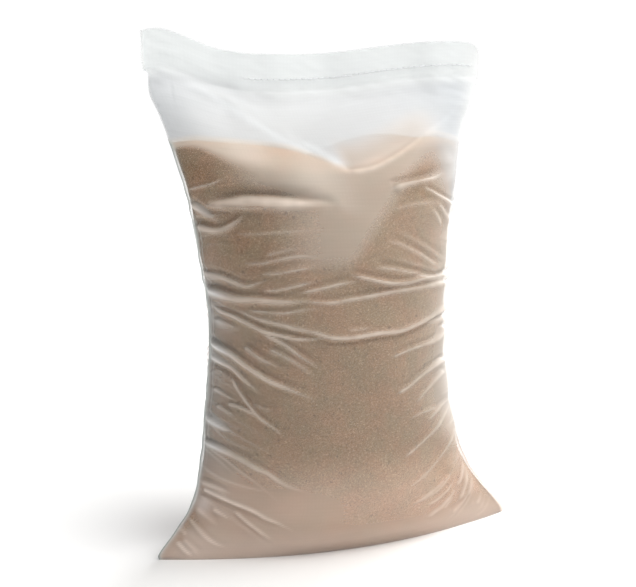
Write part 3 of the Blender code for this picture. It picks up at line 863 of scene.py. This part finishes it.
# A painted highlight under the dip in the sand, a soft reflection on the film, in pixels: the two ends of its sharp
# right edge, where a soft fold runs down, and where it fades on the left and below.
PATCH_EDGE = ((418.0, 165.0), (350.0, 272.0))
PATCH_EDGE_OVER = (-9.0, 10.0)
PATCH_LEFT = (262.0, 326.0)
PATCH_BOTTOM = (255.0, 280.0)

# Each of these is a share at every point. The ranges are in metres: across the bag, up it, or from a side fold. Over
# the sand's rim the film hangs free, and just below it the film is painted paler, as a painted highlight on the band
# along the rim.
rim = np.where(on_front, *(curve_at(table, film_x) for table in (SAND_AT_FRONT, SAND_AT_BACK)))
over_rim = film_z - rim
free_share = eased(over_rim + np.where(on_front, 0.0, 0.010), -0.002, 0.008)
clinging = 1 - free_share
front_clinging = clinging * on_front
# Painted highlight on the left shoulder, just below the rim, where the sand faces up to the light.
shoulder = ON_THE_SHOULDER * eased(over_rim, -0.064, -0.046) * front_clinging
shoulder *= eased(film_x, -0.175, -0.120) * fading(film_x, -0.080, 0.010)
# Painted highlight: the film is milkier in the pale band below the rim, at the left.
pale_band = fading(-over_rim / curve_at(PALE_BAND, film_x), 0.5, 1.5) * front_clinging * fading(film_x, -0.16, -0.09)

# The side folds: milky lines, the left one coloured grey as painted shade, with a second fine line beside the left
# one, and near the right one milky film with a painted highlight, strongest on the right shoulder.
fin = bell(from_fold, 0.0058 - 0.0016 * fading(film_z, 0.05, 0.11))
second_line = SECOND_LINE * bell(from_fold - 0.0125, 0.0015) * on_left
second_line *= eased(film_z, 0.11, 0.17) * fading(film_z, 0.42, 0.50)
fin = np.maximum(fin, second_line) * clinging
side_line = SIDE_FOLD * fin * (0.82 + 0.18 * waver)
# Painted highlight on the brightly lit right side: milkier film near the right fold, much more on the right shoulder,
# and a wide band of it towards the right edge.
right_rim = bell(from_fold, np.where(on_front, 0.070, 0.012)) * clinging * ~on_left
right_rim *= 0.30 + 0.25 * eased(film_z, 0.05, 0.14) + 2.20 * eased(film_z, 0.42, 0.50)
right_edge = curve_at(NEAR_THE_RIGHT_EDGE, film_z) * bell(from_fold, 0.108)
right_edge *= front_clinging * ~on_left * (0.22 + 0.78 * eased(from_fold, 0.020, 0.088))
# Painted light from the white floor on the lower front, strongest at the very bottom, where it lightens the shade under
# the curve of the base.
low_painted_light = LOW_PAINTED_LIGHT * fading(film_z, 0.070, 0.155) * eased(from_fold, 0.0, 0.05) * on_front
low_painted_light *= 1 + 0.7 * fading(film_x, -0.12, 0.02)
low_painted_light += AT_THE_BOTTOM * fading(film_z, 0.004, 0.050) * on_front
left_haze = bell(from_fold, 0.050) * on_left * on_front * fading(film_z, 0.32, 0.47)
left_haze *= 0.3 + 0.7 * eased(film_z, 0.06, 0.13)
pale = np.zeros(len(flat_film))
for middle_x, middle_y, half_length, half_height, fall, strength in PALE_PLACES:
    off_x = film_pixels[:, 0] - middle_x
    off_y = film_pixels[:, 1] - middle_y - fall * off_x
    pale += strength * bell(off_x, half_length) * bell(off_y, half_height)
pale *= front_clinging
# The painted highlight: milkier film in a soft patch under the dip, with a sharp right edge.
patch_top, patch_bottom = np.array(PATCH_EDGE)
run_x, run_y = (patch_bottom - patch_top) / np.linalg.norm(patch_bottom - patch_top)
patch = eased((film_pixels - patch_top) @ np.array((-run_y, run_x)), *PATCH_EDGE_OVER)
patch *= eased(film_pixels[:, 0], *PATCH_LEFT) * fading(film_pixels[:, 1], *PATCH_BOTTOM)
patch *= PAINTED_HIGHLIGHT * front_clinging

# The free film is clearer just over the dip in the sand, and in the hem, where four plies of it lie together.
in_the_dip = on_front * eased(film_x, -0.030, -0.006) * fading(film_x, 0.10, 0.17) * fading(over_rim, 0.010, 0.045)
in_hem = fading(below_edge, 0.94 * HEM_DEPTH, 1.04 * HEM_DEPTH) * free_share
free_milk = HANGING_FREE + (JUST_FREE - HANGING_FREE) * in_the_dip + (IN_FOUR_PLIES - HANGING_FREE) * in_hem
uneven = 0.93 + 0.12 * soft_noise(flat_film[:, (0, 2)], 51, 0.020)
opacity = CLINGING + (free_milk - CLINGING) * free_share + crest_haze_and_highlight * uneven * (1 - 0.5 * free_share)
opacity += shoulder + side_line + RIGHT_RIM * right_rim + right_edge + low_painted_light + patch
opacity += LEFT_HAZE * left_haze + pale + IN_THE_PALE_BAND * pale_band
# The film is made nearly clear at the side folds of the free top, which hides the shade on those folds.
opacity *= 1 - 0.92 * bell(from_fold, 0.0020) * free_share
add_layer(sack, "milk_and_painted_light", np.clip(opacity, 0.0, 0.95))

# The film's colour at each point, with painted light and shade in it: warm over the sand, as painted bounce light from
# it, greyer where it hangs free and leans back to the light, as painted shade, whitest in the folded hem, which stands
# upright, with a painted highlight at the right edge and painted shade along the left fold and the top edge.
OVER_SAND = (0.90, 0.82, 0.73)
LOW_OVER_SAND = (0.97, 0.80, 0.70)
# Painted highlight: the warmer colour that crests take.
ON_A_CREASE = (0.97, 0.85, 0.75)
JUST_OVER_SAND = (0.97, 0.89, 0.82)
AT_THE_RIGHT_RIM = (0.89, 0.90, 0.90)
AT_THE_RIGHT_SHOULDER = (0.76, 0.76, 0.76)
IN_THE_RIGHT_EAR = (0.56, 0.47, 0.41)
HANGING = ((-0.22, 0.63, 0.65, 0.67), (-0.08, 0.67, 0.69, 0.705), (0.08, 0.67, 0.69, 0.71), (0.20, 0.61, 0.64, 0.67))
IN_THE_HEM = (0.895, 0.92, 0.925)
# Painted shade: the left fold's milky line is coloured dark grey.
LEFT_FOLD_SHADE = (0.38, 0.42, 0.41)
BESIDE_THE_LEFT_FOLD = (0.78, 0.76, 0.74)
IN_THE_LEFT_EAR = (0.88, 0.78, 0.73)
# Painted shade: the thin grey line along the turned-over top edge.
TOP_EDGE_SHADE = (0.64, 0.66, 0.67)


def blended(first, second, share):
    """Colours from the first (at share 0) to the second (at share 1)."""
    first, second = np.asarray(first), np.asarray(second)
    return first + (second - first) * np.reshape(share, (-1, 1))


hanging_colour = blended(smooth_between(HANGING, film_x), JUST_OVER_SAND, in_the_dip)
# Beside the left fold the film is coloured grey, as painted shade of the left side, which faces away from the light; it
# is warmer low down in the ear.
beside = blended(BESIDE_THE_LEFT_FOLD, IN_THE_LEFT_EAR, fading(film_z, 0.09, 0.15))
# The painted highlight at the right edge takes these colours: pale at the rim, greyer on the shoulder, tan in the ear.
edge_colour = blended(AT_THE_RIGHT_RIM, AT_THE_RIGHT_SHOULDER, eased(film_z, 0.43, 0.51))
edge_colour = blended(edge_colour, IN_THE_RIGHT_EAR, fading(film_z, 0.06, 0.13))
# Painted shade: below the hem the free film leans back to face the light and takes the greyer hanging colour, sooner
# near the left, where it leans back higher up; the upright hem keeps its whiter colour.
leans_sooner = 0.012 * bell(film_x + 0.150, 0.045)
upright = fading(below_edge + leans_sooner, 0.043, 0.070) * free_share
# Over the sand the film is warmed as painted bounce light from it, and warmer low down with the painted floor light.
tint = blended(LOW_OVER_SAND, OVER_SAND, eased(film_z, 0.07, 0.16))
for colour, share in (
    (ON_A_CREASE, np.clip(2.5 * crest_haze_and_highlight, 0.0, 1.0)),
    (hanging_colour, free_share),
    (beside, np.clip(left_haze + 2.0 * pale, 0.0, 1.0)),
    (edge_colour, np.clip(right_edge + right_rim, 0.0, 1.0) * (~on_left & on_front)),
    (LEFT_FOLD_SHADE, np.clip(fin * on_left, 0.0, 1.0)),
    (IN_THE_HEM, upright),
    # painted highlight on the free film at the right fold
    (AT_THE_RIGHT_RIM, 0.8 * bell(from_fold, 0.022) * free_share * ~on_left),
    (TOP_EDGE_SHADE, 0.7 * fading(below_edge, 0.0, 0.0035) * free_share),
):
    tint = blended(tint, colour, share)
add_layer(sack, "tint", tint)

STITCH_PITCH = 0.0085
STITCH_BELOW_TOP = 0.034
PUCKERED_WITHIN = 0.008
stitch_up_cloth = float(
    np.interp(STANDING_HEIGHT - STITCH_BELOW_TOP, standing_heights, rows_up[len(base_rows):body_rows])
)
# The film's alpha is its milky haze together with the painted light in it; its colour is the tint, with painted light
# and shade in it.
film_material, shade, shader = new_material("woven_film")
milk_and_painted_light = shade.make("Attribute", {"attribute_name": "milk_and_painted_light"}, output="Fac")
cloth = shade.make("UVMap", {"uv_map": "cloth"})
along_weft = shade.make("SeparateXYZ", None, {0: cloth}, "X")
up_warp = Shade(shade.tree, along_weft.socket.node.outputs["Y"])
tapes = [shade.maths("PINGPONG", place * (1 / TAPE_WIDTH), 1.0) for place in (along_weft, up_warp)]
weave = tapes[0] * tapes[1]
wrinkle = cloth.noise(160.0, 4.0, 0.6)
streak_place = shade.make("Mapping", {"vector_type": "POINT"}, {"Vector": cloth, "Scale": (18.0, 260.0, 1.0)})
streak = streak_place.noise(1.0, 3.0)
beside_stitch = shade.make("MapRange", {"interpolation_type": "SMOOTHSTEP"}, {
    "Value": shade.maths("ABSOLUTE", up_warp - stitch_up_cloth),
    "From Min": 0.0, "From Max": PUCKERED_WITHIN, "To Min": 1.0, "To Max": 0.0,
})
pucker = shade.maths("SINE", along_weft * (2 * math.pi / STITCH_PITCH)) * beside_stitch
relief = weave * 0.14 + wrinkle * 0.5 + streak * 0.6 + pucker * 0.3
feed(
    shader,
    Base_Color=shade.make("Attribute", {"attribute_name": "tint"}, output="Color"),
    Roughness=wrinkle * 0.2 + 0.40,
    Alpha=milk_and_painted_light * (weave * 0.03 + streak * 0.08 + 0.94),
    Normal=relief.bump(0.35, 0.0006),
    IOR=1.45,
)
sack.data.materials.append(film_material)
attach(sack, "root")
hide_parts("sack")


# The sand: fine tan building sand, poured in loose. It fills the sack's body, stays out of the flat bottom corners,
# and its surface lies level on the left, dips to a V in front of the middle and rises again towards the back.
SAND_COLUMNS = 160
SAND_ROWS = 200
SURFACE_ROWS = 40
SAND_INSET = 0.0016
SHORT_OF_FOLDS = (0.0022, 0.0050)
SAND_BELOW_RIM = 0.0015
SAND_OVER_FLOOR = 0.0012
SAND_TAKES_CRESTS = 0.60
MOUND_RIPPLE = 0.0030
# Painted light on the sand: how far the pale band below its rim reaches (painted highlight), and how pale its bottom is
# painted (painted light from the floor).
PAINTED_LIGHT_IN_THE_BAND = (0.35, 1.6)
PALE_AT_BOTTOM = 0.50

sand_panel = along_panel(SAND_COLUMNS, 1.0)
ring_count = 2 * SAND_COLUMNS
rim_guess = standing_rows((0.52,), sand_panel, sand_panel)[0][:, 0]
rims = (curve_at(table, rim_guess) for table in (SAND_AT_FRONT, SAND_AT_BACK))
rim_height = np.where(np.arange(ring_count) < SAND_COLUMNS, *rims)
dense_heights = np.linspace(0.0, 0.60, 430)
dense = standing_rows(dense_heights, sand_panel, sand_panel)
dense_sections = smooth_between(SECTIONS, dense_heights)

# The sand keeps a little inside the film, and a little short of the side folds.
dense_fold = dense_sections[:, 4][:, None]
dense_wide = np.where(dense[:, :, 0] < 0, dense_sections[:, 0][:, None], dense_sections[:, 1][:, None])
reach = np.abs(dense[:, :, 1] - dense_fold)
kept = np.maximum(reach - SAND_INSET, 0.45 * reach)
dense[:, :, 1] = dense_fold + np.sign(dense[:, :, 1] - dense_fold) * kept
dense[:, :, 0] *= 1 - np.where(dense[:, :, 0] < 0, *SHORT_OF_FOLDS) / dense_wide
sand_points = np.empty((SAND_ROWS, ring_count, 3))
sand_room = np.empty((SAND_ROWS, ring_count))
for column in range(ring_count):
    wanted = np.linspace(0.0, 1.0, SAND_ROWS) * (rim_height[column] - SAND_BELOW_RIM)
    for axis in range(3):
        sand_points[:, column, axis] = np.interp(wanted, dense[:, column, 2], dense[:, column, axis])
    sand_room[:, column] = np.interp(wanted, dense[:, column, 2], kept[:, column])

# It takes the film's relief from within.
sand_facts = cloth_facts(np.concatenate((sand_panel, 1 + sand_panel)), SAND_ROWS)
sand_behind, sand_front = sand_facts[3], sand_facts[5]
flat_sand = sand_points.reshape(-1, 3)
sand_crest, sand_hollow, _ = np.where(
    sand_front,
    crease_relief(pixels_of(flat_sand) / PIXELS_PER_METRE, pixel_creases),
    crease_relief(np.stack((sand_behind, -flat_sand[:, 2]), axis=-1), back_creases),
)
sand_relief = pressed_out(
    flat_sand, sand_facts, sand_front, sand_room.ravel(), SAND_TAKES_CRESTS * sand_crest, sand_hollow
)
moved = outward(sand_points).reshape(-1, 3) * sand_relief[:, None]
flat_sand[:, 0] += ear_shift(flat_sand, sand_facts)
flat_sand = flat_sand + moved
flat_sand[:, 2] = np.maximum(flat_sand[:, 2], SAND_OVER_FLOOR)

# Its surface runs in strips from the front rim to the back rim, with a low ripple on it.
faces = grid_faces(SAND_ROWS, ring_count)
points = flat_sand.tolist()
rim_start = (SAND_ROWS - 1) * ring_count
strips = []
for step in range(1, SAND_COLUMNS):
    front_index = rim_start + step
    back_index = rim_start + ring_count - step
    front_point = flat_sand[front_index]
    back_point = flat_sand[back_index]
    strip = [front_index]
    for row in range(1, SURFACE_ROWS):
        share = row / SURFACE_ROWS
        spot = front_point + (back_point - front_point) * share
        ripple = MOUND_RIPPLE * math.sin(math.pi * share) * (soft_noise(np.array([spot[:2]]), 31, 0.07)[0] - 1.2)
        strip.append(len(points))
        points.append((spot[0], spot[1], spot[2] + ripple))
    strip.append(back_index)
    strips.append(strip)
for near, far in zip(strips, strips[1:]):
    for row in range(SURFACE_ROWS):
        faces.append((near[row], far[row], far[row + 1], near[row + 1]))
for row in range(SURFACE_ROWS):
    faces.append((rim_start, strips[0][row], strips[0][row + 1]))
    faces.append((rim_start + SAND_COLUMNS, strips[-1][row + 1], strips[-1][row]))
sand = add_mesh("sand_body", points, faces)

# The sand is painted paler at its surface and in a band along its rim, which face up to the light: a painted
# highlight. It is painted a little paler at the bottom too, as painted light from the floor.
spots = np.array(points)
to_rim = curve_at(SAND_AT_FRONT, spots[:, 0]) - spots[:, 2]
painted_sand_light = fading(to_rim / curve_at(PALE_BAND, spots[:, 0]), *PAINTED_LIGHT_IN_THE_BAND)
painted_sand_light += PALE_AT_BOTTOM * fading(spots[:, 2], 0.085, 0.165) * (1 - 0.6 * eased(spots[:, 0], 0.10, 0.20))
add_layer(sand, "painted_sand_light", painted_sand_light)

sand_material, shade, shader = new_material("tan_sand")
place = shade.make("TexCoord", output="Object")
grain_tone = shade.make("SeparateColor", None, {0: place.cells(850.0, "Color")}, "Red")
pebble_tone = shade.make("SeparateColor", None, {0: place.cells(300.0, "Color")}, "Green")
patches = place.noise(22.0, 8.0, 0.72) * 0.6 + place.noise(420.0, 3.0, 0.7) * 0.4
tone = grain_tone.ramp(
    (0.00, (0.09, 0.065, 0.045)),
    (0.02, (0.200, 0.125, 0.070)),
    (0.25, (0.229, 0.144, 0.081)),
    (0.85, (0.268, 0.172, 0.098)),
    (1.00, (0.38, 0.270, 0.175)),
)
tone = tone.tinted(patches.ramp((0.30, (0.84, 0.82, 0.80)), (0.70, (1.12, 1.12, 1.12))))
tone = tone.tinted(place.noise(34.0, 3.0).ramp((0.36, (1.07, 0.985, 0.965)), (0.64, (0.95, 1.015, 1.02))))
tone = tone.tinted(pebble_tone.ramp((0.0, (0.55, 0.50, 0.46)), (0.012, (1.0, 1.0, 1.0))))
# The painted light makes the sand's colour up to about twice as bright.
painted_light_share = shade.make("Attribute", {"attribute_name": "painted_sand_light"}, output="Fac")
grit = place.cells(850.0, "Distance") * -1.0
feed(shader, Base_Color=tone.tinted((1.87, 1.90, 2.05, 1.0), painted_light_share), Roughness=0.92, Normal=grit.bump(0.25, 0.0006))
sand.data.materials.append(sand_material)
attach(sand, "root")
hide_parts("sand_fill")

# The closing stitch: a chain stitch of spun white polyester thread through all four plies of the hem. The needle
# thread lies in straight stitches on the front, and the looper thread makes a chain of loops on the back.
THREAD_RADIUS = 0.00055
LOOP_WIDTH = 0.0016
LOOPER_THINNER = 0.8
STITCH_END_MARGIN = 0.008
STITCH_WOBBLE = 0.0003
OFF_THE_CLOTH = 0.0002
DRAWN_IN_AT_LEFT = 0.0026
DRAWN_IN_WITHIN = (-0.17, -0.08)

# One needle stitch: shares of the pitch, and how far it sinks towards the cloth there, in thread radii.
NEEDLE_SHARES = np.array((0.10, 0.13, 0.22, 0.36, 0.50, 0.64, 0.78, 0.87, 0.90))
NEEDLE_SINKS = np.array((1.3, 0.9, 0.15, 0.0, -0.1, 0.0, 0.15, 0.9, 1.3)) * 1.2

stitch_section = SECTIONS[-1]
first_stitch = -stitch_section[1] + STITCH_END_MARGIN
last_stitch = stitch_section[2] - STITCH_END_MARGIN
stitch_count = int((last_stitch - first_stitch) / STITCH_PITCH)


def stitch_spots(across, off_fold, rises):
    """Points at the stitch line's height on the hem, a distance in front of (-) or behind (+) the flat top."""
    spots = np.column_stack((across, stitch_section[5] + off_fold, top_edge_at(across) - STITCH_BELOW_TOP + rises))
    spots[:, 1] += top_waves(spots)
    return spots


def add_thread(name, node, lines, radius):
    """One mesh of many short lengths of thread, from their lines of points."""
    curve = bpy.data.curves.new(name, "CURVE")
    curve.dimensions = "3D"
    curve.bevel_depth = radius
    curve.bevel_resolution = 2
    curve.use_fill_caps = True
    for line in lines:
        spline = curve.splines.new("POLY")
        spline.points.add(len(line) - 1)
        spline.points.foreach_set("co", np.column_stack((line, np.ones(len(line)))).ravel())
    holder = bpy.data.objects.new(name, curve)
    bpy.context.scene.collection.objects.link(holder)
    bpy.ops.object.select_all(action="DESELECT")
    holder.select_set(True)
    bpy.context.view_layer.objects.active = holder
    bpy.ops.object.convert(target="MESH")
    thread = bpy.context.active_object
    thread.data.shade_smooth()
    thread.data.materials.clear()
    thread.data.materials.append(thread_material)
    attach(thread, "root")
    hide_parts(node)


thread_material, shade, shader = new_material("spun_thread")
place = shade.make("TexCoord", output="Object")
twist = shade.make("TexWave", {"wave_type": "BANDS", "bands_direction": "DIAGONAL"},
                   {"Vector": place, "Scale": 900.0, "Distortion": 1.5}, "Fac")
fuzz = place.noise(1500.0, 2.0)
thread_colour = (twist * 0.7 + fuzz * 0.3).ramp((0.0, (0.78, 0.80, 0.83)), (1.0, (0.93, 0.94, 0.96)))
feed(shader, Base_Color=thread_colour, Roughness=0.8, Normal=(twist + fuzz * 0.5).bump(0.6, 0.0002))

chance = np.random.default_rng(7)
front_face = -(HALF_FLAT_THICKNESS + THREAD_RADIUS + OFF_THE_CLOTH)
back_face = 2 * TURN_RADIUS + HALF_FLAT_THICKNESS + THREAD_RADIUS + OFF_THE_CLOTH
turn = np.linspace(0.0, 2 * math.pi, 15)
loop_along = 0.5 - 0.62 * np.cos(turn)
loop_wide = np.sin(turn) * LOOP_WIDTH * (1.0 - 0.35 * np.cos(turn))
loop_lift = 0.4 * THREAD_RADIUS * (1 + np.cos(turn)) - 0.2 * THREAD_RADIUS
needle_lines = []
looper_lines = []
for index in range(stitch_count):
    start = first_stitch + index * STITCH_PITCH
    wobble = chance.normal(0.0, STITCH_WOBBLE)
    needle_depth = front_face + NEEDLE_SINKS * THREAD_RADIUS + DRAWN_IN_AT_LEFT * fading(start, *DRAWN_IN_WITHIN)
    rise = wobble * np.sin(NEEDLE_SHARES * math.pi)
    needle_lines.append(stitch_spots(start + NEEDLE_SHARES * STITCH_PITCH, needle_depth, rise))
    looper_lines.append(stitch_spots(start + loop_along * STITCH_PITCH, back_face + loop_lift, loop_wide + wobble))
add_thread("front_stitches", "needle_thread", needle_lines, THREAD_RADIUS)
add_thread("back_loops", "looper_thread", looper_lines, THREAD_RADIUS * LOOPER_THINNER)
